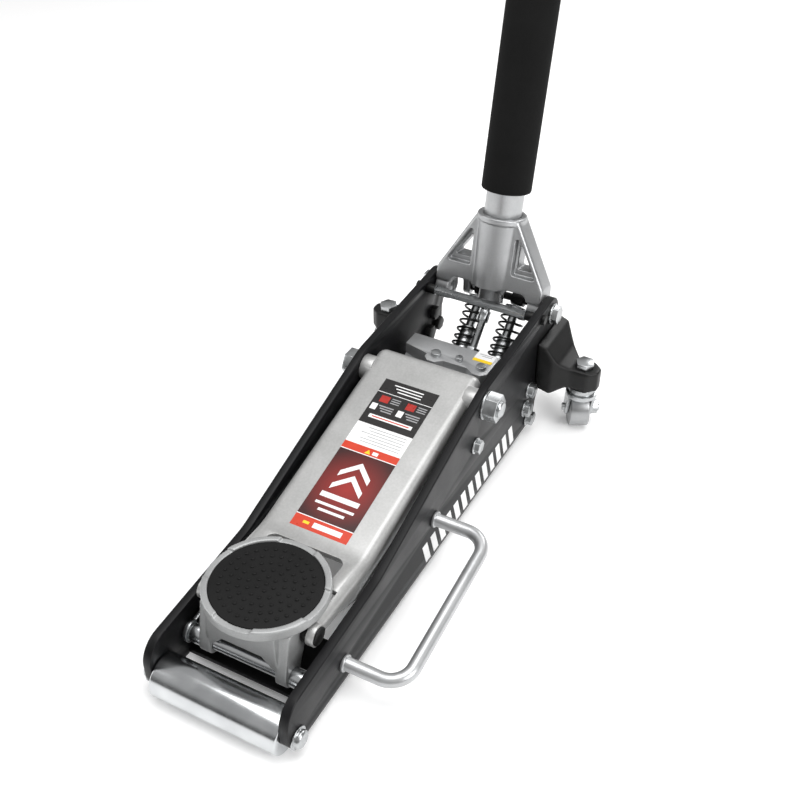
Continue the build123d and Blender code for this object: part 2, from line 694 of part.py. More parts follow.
with BuildPart() as handle_grip:
    disc_on(handle_plane(870), 18.5, handle_len - 870)
    disc_on(handle_plane(870), 21, 4)
    disc_on(handle_plane(869), upper_r, handle_len - 3 - 869, Mode.SUBTRACT)
    fillet(handle_grip.faces().sort_by(Axis.Z)[-1].edges(), 3)
save(handle_grip.part, "handle_grip")

snap_in = 6.0
with BuildPart() as snap_button:
    disc_on(socket_front(snap_in), snap_r, tube_r + 2.5 - snap_in, at=(0, snap_at))
    fillet(snap_button.edges().filter_by(GeomType.CIRCLE).sort_by(Axis.X)[-1], 1.5)
save(snap_button.part, "snap_button")

cup_r = 13.0
cup_in = 9.5
slot = 6.8
with BuildPart() as handle_cup:
    disc_on(handle_plane(-6), cup_r, 20, hole=cup_in)
    disc_on(handle_plane(14), tube_r - wall, 20)
    disc_on(handle_plane(12), cup_r, 2)
    slab(
        socket_front(-slot / 2),
        [(-cup_r - 1, -7), (-cup_r - 1, 10), (cup_r + 1, 10), (cup_r + 1, -7)],
        slot,
        Mode.SUBTRACT,
    )
save(handle_cup.part, "handle_cup")

# ---------------------------------------------------------------- casters
bracket_end = 130.0
kingpin_r = 5.0
race_z = 49.7
race_top = 55.5
for name, side in sides.items():
    with BuildPart() as caster_bracket:
        profile = [(68, 50), (68, 104), (78, 100), (91, 84), (101, 79), (bracket_end, 79)]
        profile += [(bracket_end, race_top), (98, race_top), (84, 46)]
        slab(front_view(roller_x - 518), [(side * y, z) for y, z in profile], 62)
        plan = [(roller_x - 518, 60), (roller_x - 456, 60), (roller_x - 456, 86), (caster_x + 13, 104)]
        plan += [(caster_x + 13, 121), (caster_x + 5, bracket_end), (caster_x - 5, bracket_end)]
        plan += [(caster_x - 13, 121), (caster_x - 13, 104), (roller_x - 518, 78)]
        slab(Plane.XY, [(x, side * y) for x, y in plan], 150, Mode.INTERSECT)
        disc_on(caster_top(side, race_top - 1), kingpin_r, 40, Mode.SUBTRACT)
        for x, z in bracket_bolts:
            bar_y(x, z, m8_r, side * (frame_half - 1), side * 80, Mode.SUBTRACT)
    save(caster_bracket.part, f"caster_bracket_{name}")

with BuildPart() as bracket_bolt_set:
    for x, z in bracket_bolts:
        for side in (1, -1):
            bar_y(x, z, m8_r, side * inner_half, side * 80)
            hex_y(x, z, 13, side * (inner_half - 6), side * inner_half)
save(bracket_bolt_set.part, "bracket_bolts")

with BuildPart() as kingpins:
    for side in (1, -1):
        disc_on(caster_top(side, 41.5), kingpin_r, 42)
        disc_on(caster_top(side, race_z), 14, race_top - race_z)
        disc_on(caster_top(side, 41.5), 7.5, 3)
        with BuildSketch(caster_top(side, 79)) as bolt_head:
            RegularPolygon(8.5, 6, major_radius=False)
        extrude(bolt_head.sketch, amount=6)
save(kingpins.part, "kingpins")

fork_in, fork_out = 11.0, 14.0
axle_pin_r = 4.0
axle_end = 2.5  # how far the axle stands out of the fork's inner leg
axle_thread = 8.0  # and out of its outer leg, where the nut is
for name, side in sides.items():
    with BuildPart() as caster_fork:
        disc_on(caster_top(side, 45), 16, 4.3)
        for turn in (1, -1):
            across = turn * fork_in if turn > 0 else -fork_out
            slab(
                caster_side(side, across),
                [(-caster_trail - 7, wheel_r - 2), (-caster_trail + 7, wheel_r - 2), (9, 49.3), (-12, 49.3)],
                -(fork_out - fork_in),
            )
            with BuildSketch(caster_side(side, across)) as leg_end:
                with Locations((-caster_trail, wheel_r)):
                    Circle(8)
            extrude(leg_end.sketch, amount=-(fork_out - fork_in))
        pin_start = -fork_out - (axle_end if side > 0 else axle_thread)
        with BuildSketch(caster_side(side, pin_start)) as axle_pin:
            with Locations((-caster_trail, wheel_r)):
                Circle(axle_pin_r)
        extrude(axle_pin.sketch, amount=-2 * fork_out - axle_end - axle_thread)
        with BuildSketch(caster_side(side, fork_out if side > 0 else -fork_out - 6)) as axle_nut:
            with Locations((-caster_trail, wheel_r)):
                RegularPolygon(6.5, 6, major_radius=False)
        extrude(axle_nut.sketch, amount=-6)
        disc_on(caster_top(side, 41), 8.5, 4, Mode.SUBTRACT)
        disc_on(caster_top(side, 44), kingpin_r + running, 8, Mode.SUBTRACT)
    save(caster_fork.part, f"caster_fork_{name}")
    with BuildPart() as caster_wheel:
        with BuildSketch(caster_side(side, -10)) as tread:
            with Locations((-caster_trail, wheel_r)):
                Circle(wheel_r)
                Circle(axle_pin_r + running, mode=Mode.SUBTRACT)
        extrude(tread.sketch, amount=-20)
        chamfer(caster_wheel.edges().filter_by(GeomType.CIRCLE).sort_by(SortBy.RADIUS)[-2:], 1)
    save(caster_wheel.part, f"caster_wheel_{name}")
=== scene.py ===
"""A compact aluminium floor jack with its handle up, on a pale floor under soft light."""
import json
import random
from math import atan2, cos, pi, radians, sin, sqrt

import bmesh
import bpy
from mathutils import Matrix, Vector

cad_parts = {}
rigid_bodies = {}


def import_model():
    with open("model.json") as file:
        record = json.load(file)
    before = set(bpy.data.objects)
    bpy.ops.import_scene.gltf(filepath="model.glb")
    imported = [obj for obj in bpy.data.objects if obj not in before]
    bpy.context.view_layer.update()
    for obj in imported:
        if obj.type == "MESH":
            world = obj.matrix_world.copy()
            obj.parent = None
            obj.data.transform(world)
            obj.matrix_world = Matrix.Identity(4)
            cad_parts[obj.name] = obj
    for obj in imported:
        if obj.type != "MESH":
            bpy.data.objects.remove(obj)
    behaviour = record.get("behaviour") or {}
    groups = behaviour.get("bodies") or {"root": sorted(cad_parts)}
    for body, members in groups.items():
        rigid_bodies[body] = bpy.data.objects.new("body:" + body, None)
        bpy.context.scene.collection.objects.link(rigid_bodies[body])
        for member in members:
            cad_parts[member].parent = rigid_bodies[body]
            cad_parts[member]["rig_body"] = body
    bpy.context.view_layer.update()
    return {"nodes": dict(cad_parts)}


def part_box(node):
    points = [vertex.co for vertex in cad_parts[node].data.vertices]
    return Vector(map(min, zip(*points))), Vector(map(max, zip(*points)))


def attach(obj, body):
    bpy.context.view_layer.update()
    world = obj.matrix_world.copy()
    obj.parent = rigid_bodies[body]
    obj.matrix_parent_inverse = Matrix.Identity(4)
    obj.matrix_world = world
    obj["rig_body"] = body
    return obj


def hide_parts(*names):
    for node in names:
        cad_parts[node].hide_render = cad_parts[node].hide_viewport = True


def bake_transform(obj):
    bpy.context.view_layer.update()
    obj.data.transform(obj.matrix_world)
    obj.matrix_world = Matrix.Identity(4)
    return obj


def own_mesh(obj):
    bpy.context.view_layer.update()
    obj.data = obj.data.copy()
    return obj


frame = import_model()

MM = 0.001

# ---------------------------------------------------------------- camera, floor and light
# A still-life camera looks down along the jack from above its nose, over the side with the
# carry handle. The floor is pale seamless paper, lit by large soft boxes.
EYE = Vector((0.7592, 0.379, 0.7405))
HEADING, DIP = radians(208.26), radians(37.78)  # turned from +X, and tilted down
LENS, SENSOR = 49.98, 36.0


def linear(hex_colour, alpha=1.0):
    """Turn an sRGB hex colour into the linear values that a shader takes."""
    levels = [int(hex_colour[i : i + 2], 16) / 255 for i in (0, 2, 4)]
    levels = [v / 12.92 if v <= 0.04045 else ((v + 0.055) / 1.055) ** 2.4 for v in levels]
    return (*levels, alpha)


def add(tree, kind, links=(), **values):
    """Add a node to a material: values set its settings or its sockets, links join its inputs."""
    node = tree.nodes.new("ShaderNode" + kind)
    for name, value in values.items():
        if hasattr(node, name):
            setattr(node, name, value)
        else:
            node.inputs[name.replace("_", " ")].default_value = value
    for socket, source in links:
        tree.links.new(source, node.inputs[socket])
    return node


def bare_material(name):
    """A new material with an empty tree, its output and its shader."""
    material = bpy.data.materials.new(name)
    material.use_nodes = True
    tree = material.node_tree
    tree.nodes.clear()
    shader = add(tree, "BsdfPrincipled")
    add(tree, "OutputMaterial", [("Surface", shader.outputs["BSDF"])])
    return material, tree, shader


camera = bpy.data.objects.new("camera", bpy.data.cameras.new("camera"))
camera.data.lens = LENS
camera.data.sensor_width = SENSOR
camera.data.clip_start = 0.01
camera.location = EYE
look = Vector((cos(HEADING) * cos(DIP), sin(HEADING) * cos(DIP), -sin(DIP)))
camera.rotation_euler = look.to_track_quat("-Z", "Y").to_euler()
bpy.context.scene.collection.objects.link(camera)
bpy.context.scene.camera = camera
bpy.context.scene.view_settings.view_transform = "Standard"

paper, tree, shader = bare_material("seamless_paper_matt")
fibre = add(tree, "TexNoise", Scale=400.0, Detail=3.0)
tooth = add(tree, "Bump", [("Height", fibre.outputs["Fac"])], Strength=0.1, Distance=0.0002)
shader.inputs["Base Color"].default_value = linear("F8F8F8")
shader.inputs["Roughness"].default_value = 0.9
shader.inputs["Emission Color"].default_value = (1, 1, 1, 1)
shader.inputs["Emission Strength"].default_value = 0.14
tree.links.new(tooth.outputs["Normal"], shader.inputs["Normal"])

FLOOR_HALF = 7.0
corners = [(x * FLOOR_HALF, y * FLOOR_HALF, 0) for x, y in ((-1, -1), (1, -1), (1, 1), (-1, 1))]
floor_mesh = bpy.data.meshes.new("floor")
floor_mesh.from_pydata(corners, [], [(0, 1, 2, 3)])
floor_mesh.materials.append(paper)
floor = bpy.data.objects.new("floor", floor_mesh)
bpy.context.scene.collection.objects.link(floor)

# The room is white overhead and falls to grey near the horizon, so that polished metal
# reflects dark streaks as well as light ones.
world = bpy.data.worlds.new("studio")
world.use_nodes = True
tree = world.node_tree
background = tree.nodes["Background"]
toward = add(tree, "TexCoord")
height = add(tree, "SeparateXYZ", [("Vector", toward.outputs["Generated"])])
room = add(tree, "ValToRGB", [("Fac", height.outputs["Z"])])
room.color_ramp.elements[0].color = (0.1, 0.1, 0.1, 1)
room.color_ramp.elements[0].position = 0.12
room.color_ramp.elements[1].color = (1, 1, 1, 1)
room.color_ramp.elements[1].position = 0.5
tree.links.new(room.outputs["Color"], background.inputs["Color"])
background.inputs["Strength"].default_value = 0.5
bpy.context.scene.world = world

# Each soft box: its name, where it stands, where it points, its side in metres and its watts.
SOFT_BOXES = [
    ("overhead", (0.1, 0.1, 1.9), (0, 0, 0), 1.5, 26),
    ("left_window", (0.5, 1.8, 1.0), (0, 0, 0.1), 1.0, 22),
    ("right_fill", (0.6, -1.6, 0.7), (0, 0, 0.1), 1.0, 9),
    ("back_rim", (-1.8, 0.4, 1.2), (-0.1, 0, 0.2), 0.9, 12),
]
for name, place, aim, size, watts in SOFT_BOXES:
    lamp = bpy.data.lights.new(name, "AREA")
    lamp.shape = "SQUARE"
    lamp.size = size
    lamp.energy = watts
    box = bpy.data.objects.new(name, lamp)
    box.location = place
    box.rotation_euler = (Vector(aim) - Vector(place)).to_track_quat("-Z", "Y").to_euler()
    bpy.context.scene.collection.objects.link(box)

# ---------------------------------------------------------------- side plates and cross plate
# Two 8 mm aluminium plates, sawn and milled, their edges broken, then anodised satin black,
# which gives a very fine even grain. The cross plate is painted steel sheet, duller than they.


PATCH_MM = 28.0  # width of the broad uneven patches on every worked surface
SHADE_FROM, SHADE_TO = 0.33, 0.67  # nearly all of the mean of two noises lies between these
GLOSS_FROM, GLOSS_TO = 0.6, 1.4  # and nearly all of their sum between these


def worked(name, dark, light, metallic, rough, grain_mm, bump_mm, stretch=(1, 1, 1), specular=0.5):
    """A worked surface: a fine grain in colour, gloss and relief, under broad uneven patches."""
    material, tree, shader = bare_material(name)
    place = add(tree, "TexCoord").outputs["Object"]
    spread = add(tree, "Mapping", [("Vector", place)], Scale=stretch)
    grain = add(tree, "TexNoise", [("Vector", spread.outputs["Vector"])], Scale=1000 / grain_mm, Detail=4.0)
    broad = add(tree, "TexNoise", [("Vector", place)], Scale=1000 / PATCH_MM, Detail=3.0)
    both = add(tree, "Math", [(0, grain.outputs["Fac"]), (1, broad.outputs["Fac"])], operation="ADD")
    mean = add(tree, "Math", [(0, both.outputs[0])], operation="MULTIPLY")
    mean.inputs[1].default_value = 0.5
    shade = add(tree, "ValToRGB", [("Fac", mean.outputs[0])])
    shade.color_ramp.elements[0].color = linear(dark)
    shade.color_ramp.elements[0].position = SHADE_FROM
    shade.color_ramp.elements[1].color = linear(light)
    shade.color_ramp.elements[1].position = SHADE_TO
    gloss = add(tree, "MapRange", [("Value", both.outputs[0])], From_Min=GLOSS_FROM, From_Max=GLOSS_TO)
    gloss.inputs["To Min"].default_value = rough[0]
    gloss.inputs["To Max"].default_value = rough[1]
    relief = add(tree, "Bump", [("Height", grain.outputs["Fac"])], Strength=0.6, Distance=bump_mm * MM)
    tree.links.new(shade.outputs["Color"], shader.inputs["Base Color"])
    tree.links.new(gloss.outputs["Result"], shader.inputs["Roughness"])
    tree.links.new(relief.outputs["Normal"], shader.inputs["Normal"])
    shader.inputs["Metallic"].default_value = metallic
    shader.inputs["Specular IOR Level"].default_value = specular
    return material, tree, shader


SHARP = radians(32)  # edges that turn by more than this are bevelled
CREASE = radians(38)  # and these stay crisp in the shading


def finished_copy(node, suffix, material):
    """A copy of a CAD piece with its own material, to take the piece's place."""
    source = frame["nodes"][node]
    piece = bpy.data.objects.new(f"{node}_{suffix}", source.data.copy())
    bpy.context.scene.collection.objects.link(piece)
    piece.data.materials.clear()
    piece.data.materials.append(material)
    for face in piece.data.polygons:
        face.material_index = 0
    return piece


def settle(piece, node):
    """Apply a piece's modifiers, then let it ride for its CAD node."""
    graph = bpy.context.evaluated_depsgraph_get()
    shape = bpy.data.meshes.new_from_object(piece.evaluated_get(graph))
    piece.modifiers.clear()
    piece.data = shape
    stand_in(piece, node)


def stand_in(piece, *nodes):
    """The piece replaces these CAD nodes: it rides on the first one's body, and they are hidden."""
    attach(piece, frame["nodes"][nodes[0]]["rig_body"])
    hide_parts(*nodes)


def machined(node, material, edge):
    """Stand a copy in a CAD piece's place with its sharp edges broken by this many millimetres."""
    piece = finished_copy(node, "finished", material)
    shape = bmesh.new()
    shape.from_mesh(piece.data)
    bmesh.ops.remove_doubles(shape, verts=shape.verts, dist=0.002 * MM)
    bmesh.ops.dissolve_limit(shape, angle_limit=radians(0.8), verts=shape.verts, edges=shape.edges)
    shape.to_mesh(piece.data)
    shape.free()
    piece.data.shade_smooth()
    bevel = piece.modifiers.new("broken_edges", "BEVEL")
    bevel.limit_method = "ANGLE"
    bevel.angle_limit = SHARP
    bevel.width = edge * MM
    bevel.segments = 2
    bevel.use_clamp_overlap = True
    settle(piece, node)
    piece.data.set_sharp_from_angle(angle=CREASE)
    return piece


def cast(node, material, voxel, rounds):
    """Stand a copy in a CAD piece's place with the soft corners of a casting all over."""
    piece = finished_copy(node, "cast", material)
    skin = piece.modifiers.new("skin", "REMESH")
    skin.mode = "VOXEL"
    skin.voxel_size = voxel * MM
    skin.use_smooth_shade = True
    melt = piece.modifiers.new("melt", "SMOOTH")
    melt.factor = 0.5
    melt.iterations = rounds
    settle(piece, node)
    piece.data.shade_smooth()
    return piece


black_anodised, _, _ = worked(
    "aluminium_anodised_black_satin", "0A0A0B", "121214", 0.0, (0.34, 0.48), 0.5, 0.008, specular=0.22
)
black_sheet, _, _ = worked(
    "steel_sheet_black_painted", "080808", "101011", 0.0, (0.5, 0.65), 1.2, 0.02, specular=0.15
)
for node in ("side_plate_left", "side_plate_right"):
    machined(node, black_anodised, 0.5)
machined("front_cross_plate", black_sheet, 0.4)

# ---------------------------------------------------------------- stripes on the left plate
# A plain row of slanted white bars, screen-printed in matt enamel along the foot of the
# outer face. The print stands 0.12 mm proud, thicker than real ink, so that it shows.
printed_white, _, _ = worked(
    "enamel_screen_printed_white", "DADADA", "F4F4F4", 0.0, (0.4, 0.55), 0.6, 0.01
)
PRINT_BASE, PRINT_THICK, PRINT_STEP = 0.02, 0.12, 0.06  # gap, thickness, and more for each layer


def printed(name, node, origin, along, across, patches):
    """Thin printed patches on a flat face: each has its corners, a material and a layer."""
    origin, along, across = Vector(origin), Vector(along), Vector(across)
    out = along.cross(across).normalized()
    shape = bmesh.new()
    piece_mesh = bpy.data.meshes.new(name)
    slots = []
    for outline, material, layer in patches:
        if material.name not in slots:
            slots.append(material.name)
            piece_mesh.materials.append(material)
        low = origin + out * (PRINT_BASE * MM)
        high = origin + out * ((PRINT_THICK + PRINT_STEP * layer) * MM)
        rings = []
        for base in (low, high):
            ring = [shape.verts.new(base + along * u * MM + across * v * MM) for u, v in outline]
            rings.append(ring)
        count = len(outline)
        faces = [shape.faces.new(rings[1]), shape.faces.new(list(reversed(rings[0])))]
        for i in range(count):
            k = (i + 1) % count
            faces.append(shape.faces.new((rings[0][i], rings[0][k], rings[1][k], rings[1][i])))
        for face in faces:
            face.material_index = slots.index(material.name)
    bmesh.ops.recalc_face_normals(shape, faces=shape.faces)
    shape.to_mesh(piece_mesh)
    shape.free()
    piece = bpy.data.objects.new(name, piece_mesh)
    bpy.context.scene.collection.objects.link(piece)
    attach(piece, frame["nodes"][node]["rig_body"])
    return piece


BAR_COUNT, BAR_HEIGHT, BAR_WIDTH, BAR_PITCH, BAR_SLANT = 13, 25.0, 9.0, 15.5, 8.0
FIRST_BAR, BAR_FOOT = -64.0, 12.5  # x of the rearmost bar's foot, and its height off the floor
bars = []
for i in range(BAR_COUNT):  # seen from outside, so u runs to the rear
    rear = -(FIRST_BAR + i * BAR_PITCH)
    front = rear - BAR_WIDTH
    outline = [(rear - BAR_SLANT, BAR_HEIGHT), (front - BAR_SLANT, BAR_HEIGHT), (front, 0), (rear, 0)]
    bars.append((outline, printed_white, 0))
plate_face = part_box("side_plate_left")[1].y
stripes_foot = (0, plate_face, BAR_FOOT * MM)
printed("plate_stripes", "side_plate_left", stripes_foot, (-1, 0, 0), (0, 0, 1), bars)

# ---------------------------------------------------------------- front roller and its axle
# A thick steel tube, turned, polished and hard-chromed, running on a through axle. Chrome
# shows clear reflections, a little broken by the fine wear of rolling on a floor.
chrome, _, _ = worked(
    "steel_turned_hard_chromed", "B4B6B8", "D8DADB", 1.0, (0.16, 0.26), 0.35, 0.003, stretch=(1, 6, 1)
)
machined("front_roller", chrome, 0.5)

# The frame's bolts and nuts are bright zinc-plated steel, even in colour with faint clouds.
zinc, _, _ = worked("steel_zinc_plated_bright", "A2A4A5", "BFC1C2", 1.0, (0.24, 0.34), 7.0, 0.002)
FRAME_BOLTS = ("main_pivot_bolt", "main_pivot_nut", "radius_rod_bolts", "block_bolts")
for node in ("front_axle", "nose_bolts") + FRAME_BOLTS:
    machined(node, zinc, 0.35)

# ---------------------------------------------------------------- carry handle
# A 12 mm round bar, bent to a D, its feet through the left plate. It is sprayed with silver
# lacquer, which gives a soft even shine with very fine flake.
silver_lacquer, _, _ = worked(
    "steel_bar_silver_lacquered", "ABACAD", "C0C1C2", 0.7, (0.3, 0.4), 0.25, 0.003
)
machined("carry_handle", silver_lacquer, 0.4)

# ---------------------------------------------------------------- lift arm
# A pressed and welded steel channel, blasted and sprayed silver-grey. The satin paint has a
# slight orange peel of about 2 mm and is a little brighter where it catches the light.
silver_paint, _, shader = worked(
    "steel_pressed_silver_painted", "A8A8A7", "B8B8B7", 0.5, (0.32, 0.42), 2.2, 0.012
)
shader.inputs["Coat Weight"].default_value = 0.25
shader.inputs["Coat Roughness"].default_value = 0.25
machined("lift_arm", silver_paint, 0.8)

# ---------------------------------------------------------------- label on the lift arm
# A vinyl label, printed in glossy inks and laid down the slope of the arm. Its bars, squares
# and chevrons stand for notices and an arrow, and it says nothing.


def ink(colour, dark, light):
    """A glossy printing ink on vinyl, almost even in colour."""
    material, _, _ = worked(f"vinyl_printed_{colour}", dark, light, 0.0, (0.25, 0.35), 3.0, 0.004)
    return material


label_black = ink("black", "151313", "1E1B1B")
label_white = ink("white", "E2E2E2", "F0F0F0")
label_grey = ink("grey", "8E8E90", "A2A2A4")
label_orange = ink("orange_red", "BC3217", "C93A1B")
label_yellow = ink("yellow", "E8C21C", "F2CE26")
label_crimson = ink("crimson", "98201A", "B02A1E")

ARM_FALL, ARM_RUN, ARM_REAR = 127.5 - 76.3, 217.0, 127.5  # the sloping top of the arm
LABEL_FROM_REAR = 39.0
SLOPE = atan2(ARM_FALL, ARM_RUN)
LABEL_START = Vector((29 * MM, 0, (ARM_REAR - LABEL_FROM_REAR * ARM_FALL / ARM_RUN) * MM))
DOWN_ARM = (cos(SLOPE), 0, -sin(SLOPE))
LABEL_LONG, LABEL_HALF = 168.0, 28.0  # in the label's own drawing
LABEL_PRINT = 177.0 / LABEL_LONG  # its length on the arm over its length in the drawing

# The red panel's colour holds a painted highlight: bright red in the middle, falling to near black at its
# edges.
HIGHLIGHT_ALONG, HIGHLIGHT_REACH = 126.0, 1 / 24  # middle of the painted highlight down the label, and its radius in m
highlight_centre = LABEL_START + Vector(DOWN_ARM) * HIGHLIGHT_ALONG * MM
label_red_highlit, tree, shader = bare_material("vinyl_red_painted_highlight")
place = add(tree, "TexCoord")
shift = tuple(-highlight_centre / HIGHLIGHT_REACH)
ball = add(tree, "Mapping", [("Vector", place.outputs["Object"])], Location=shift)
ball.inputs["Scale"].default_value = (1 / HIGHLIGHT_REACH,) * 3
highlight_falloff = add(tree, "TexGradient", [("Vector", ball.outputs["Vector"])], gradient_type="SPHERICAL")
red_and_highlight = add(tree, "ValToRGB", [("Fac", highlight_falloff.outputs["Fac"])])
# Painted highlight: near black at its rim, bright red at its middle.
red_and_highlight.color_ramp.elements[0].color = linear("330706")
red_and_highlight.color_ramp.elements[1].color = linear("96201A")
tree.links.new(red_and_highlight.outputs["Color"], shader.inputs["Base Color"])
shader.inputs["Roughness"].default_value = 0.3


def patch(u0, u1, v0, v1, material, layer=1):
    """A rectangle on the label, from u0 to u1 down the arm and v0 to v1 across it."""
    return ([(u0, v0), (u1, v0), (u1, v1), (u0, v1)], material, layer)


# The coloured fields from the rear of the label to its front, then the marks on them. In the
# drawing u runs down the arm and v across it, in millimetres.
BLACK_END, WHITE_END, NOTICE_END, RED_END = 52.0, 75.0, 83.0, 156.0
print_run = random.Random(7)
patches = [
    patch(0, BLACK_END, -LABEL_HALF, LABEL_HALF, label_black, 0),
    patch(BLACK_END, WHITE_END, -LABEL_HALF, LABEL_HALF, label_white, 0),
    patch(WHITE_END, NOTICE_END, -LABEL_HALF, LABEL_HALF, label_orange, 0),
    patch(NOTICE_END, RED_END, -LABEL_HALF, LABEL_HALF, label_red_highlit, 0),
    patch(RED_END, LABEL_LONG, -LABEL_HALF, LABEL_HALF, label_orange, 0),
    patch(15, 15.6, -LABEL_HALF, LABEL_HALF, label_white),
    patch(41, 45, -22, 22, label_white),
    patch(42.4, 43.6, -19, 19, label_orange, 2),
    patch(NOTICE_END - 0.4, NOTICE_END + 0.4, -LABEL_HALF, LABEL_HALF, label_white),
    patch(RED_END - 0.4, RED_END + 0.4, -LABEL_HALF, LABEL_HALF, label_white),
]
for row in range(3):  # title bars
    start = 4 + row * 3.2
    patches.append(patch(start, start + 1.1, -14, 16 - 3 * row, label_white))
for side in (-1, 1):  # two notices, each a square and a few lines
    middle = side * 13.5
    patches.append(patch(18.5, 26, middle - 1, middle + 8, label_crimson))
    for row in range(3):
        upper, lower = 19 + row * 2.4, 29.5 + row * 2.6
        patches.append(patch(upper, upper + 1, middle - 12, middle - 3, label_grey))
        patches.append(patch(lower, lower + 1.2, middle - 10, middle + 5 - 2 * row, label_grey))
    patches.append(patch(29, 36, middle + 6.5, middle + 12.5, label_white))
for row in range(6):  # six uneven lines on the white field
    length = print_run.uniform(34, 48)
    start = BLACK_END + 3 + row * 3.1
    patches.append(patch(start, start + 0.7, -24, -24 + length, label_grey))
patches.append(([(77, 2), (81.4, -0.8), (81.4, 4.8)], label_yellow, 1))  # a plain triangle
patches.append(patch(77.6, 81, -8, -2.5, label_white))
for tip in (92, 106):  # the arrow
    chevron = [(tip, 0), (tip + 13, 15), (tip + 19, 15), (tip + 6, 0), (tip + 19, -15), (tip + 13, -15)]
    patches.append((chevron, label_white, 1))
patches.append(patch(129, 134, -19, 19, label_white))  # a wide bar and two shorter ones
for row in range(2):
    start, half = 139 + row * 6, 19 - row * 6
    patches.append(patch(start, start + 2.5, -half, half, label_white))
patches.append(patch(159.5, 164.5, -20, 8, label_white))
patches.append(patch(160.7, 163.3, 12, 18, label_yellow))


def laid_up(patches, stretch=1.0):
    """The patches as they lie on an upward face, where v runs the other way."""
    turned_over = []
    for outline, material, layer in patches:
        corners = [(u * stretch, -v) for u, v in reversed(outline)]
        turned_over.append((corners, material, layer))
    return turned_over


printed("arm_label", "lift_arm", LABEL_START, DOWN_ARM, (0, 1, 0), laid_up(patches, LABEL_PRINT))

# ---------------------------------------------------------------- pins and radius rods
# Ground pins, hard-chromed where they show, and flat steel bars with a zinc plating. The
# stub pins at the arm's nose are black oxide, a thin matt skin with a trace of oil.
black_oxide, _, _ = worked(
    "steel_black_oxide_oiled", "0A0A0A", "141414", 0.1, (0.36, 0.5), 1.0, 0.008, specular=0.3
)
for node in ("crank_pin", "link_pin", "ram", "pump_plunger_left", "pump_plunger_right"):
    machined(node, chrome, 0.35)
for node in ("crank_bush", "spring_hook_pin", "spring_anchor_bar", "radius_rod_left", "radius_rod_right"):
    machined(node, zinc, 0.3)
machined("arm_front_pins", black_oxide, 0.3)

# ---------------------------------------------------------------- saddle and its yoke
# Iron castings, fettled and sprayed light grey, so every corner is soft and the skin keeps
# the sand's grain. The rubber pad is moulded with rings of small round studs.
grey_cast, _, _ = worked("iron_sand_cast_grey_painted", "969797", "ABACAC", 0.45, (0.36, 0.5), 0.9, 0.04)
cast("saddle_yoke", grey_cast, 0.8, 8)
cast("saddle_dish", grey_cast, 0.7, 4)
machined("saddle_retainer", black_oxide, 0.2)

pad_rubber, _, _ = worked(
    "rubber_moulded_black", "0C0C0C", "161616", 0.0, (0.55, 0.7), 0.5, 0.02, specular=0.2
)
pad_low, pad_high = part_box("saddle_pad")
PAD_CENTRE = ((pad_low + pad_high) / 2).to_2d()
PAD_R = (pad_high.x - pad_low.x) / 2
STUD_R, STUD_HIGH, RING_PITCH = 1.7, 0.9, 7.6
STUD_RINGS = (1, 6, 12, 18, 24, 30)  # how many studs each ring has
RING_TURN = 0.37  # each ring starts this much further round, in radians
pad_face = pad_high.z - STUD_HIGH * MM
shape = bmesh.new()


def turned(shape, centre, profile, steps):
    """Turn a profile of (radius, height) pairs about an upright axis, closed at the axis."""
    rings = []
    for radius, height in profile:
        if radius < 1e-9:
            rings.append([shape.verts.new((centre[0], centre[1], height))])
            continue
        ring = []
        for k in range(steps):
            turn = 2 * pi * k / steps
            spot = (centre[0] + radius * cos(turn), centre[1] + radius * sin(turn), height)
            ring.append(shape.verts.new(spot))
        rings.append(ring)
    for low, high in zip(rings, rings[1:]):
        for k in range(steps):
            n = (k + 1) % steps
            ends = [low[k % len(low)], low[n % len(low)], high[n % len(high)], high[k % len(high)]]
            shape.faces.new(list(dict.fromkeys(ends)))


pad_profile = [(0, pad_low.z), (PAD_R, pad_low.z), (PAD_R, pad_face - 0.6 * MM)]
pad_profile += [(PAD_R - 0.25 * MM, pad_face - 0.15 * MM), (PAD_R - 0.9 * MM, pad_face), (0, pad_face)]
turned(shape, PAD_CENTRE, pad_profile, 128)
stud_profile = [(STUD_R, -0.2), (STUD_R * 0.97, STUD_HIGH * 0.5), (STUD_R * 0.78, STUD_HIGH * 0.86)]
stud_profile += [(STUD_R * 0.4, STUD_HIGH), (0, STUD_HIGH)]
for ring, count in enumerate(STUD_RINGS):
    reach = ring * RING_PITCH * MM
    for k in range(count):
        angle = 2 * pi * k / count + ring * RING_TURN
        centre = (PAD_CENTRE.x + reach * cos(angle), PAD_CENTRE.y + reach * sin(angle))
        turned(shape, centre, [(r * MM, pad_face + h * MM) for r, h in stud_profile], 16)
pad_mesh = bpy.data.meshes.new("studded_pad")
bmesh.ops.recalc_face_normals(shape, faces=shape.faces)
shape.to_mesh(pad_mesh)
shape.free()
pad_mesh.materials.append(pad_rubber)
pad_mesh.shade_smooth()
pad_mesh.set_sharp_from_angle(angle=radians(50))
pad = bpy.data.objects.new("studded_pad", pad_mesh)
bpy.context.scene.collection.objects.link(pad)
stand_in(pad, "saddle_pad")

# ---------------------------------------------------------------- pump block and reservoir
# A block of steel, milled on all faces and clear-coated: a grey satin with milling lines
# about 1 mm apart. Cap screws close its oil ways, and the reservoir tube is black.
milled, _, _ = worked(
    "steel_milled_clear_coated", "A0A1A2", "BBBCBD", 0.7, (0.34, 0.46), 0.9, 0.012, stretch=(1, 5, 1)
)
machined("pump_block", milled, 0.7)
machined("ram_gland", milled, 0.4)
machined("valve_gland", zinc, 0.4)
machined("block_cap_screws", zinc, 0.3)
machined("reservoir_tube", black_sheet, 0.3)
machined("filler_plug", pad_rubber, 0.3)

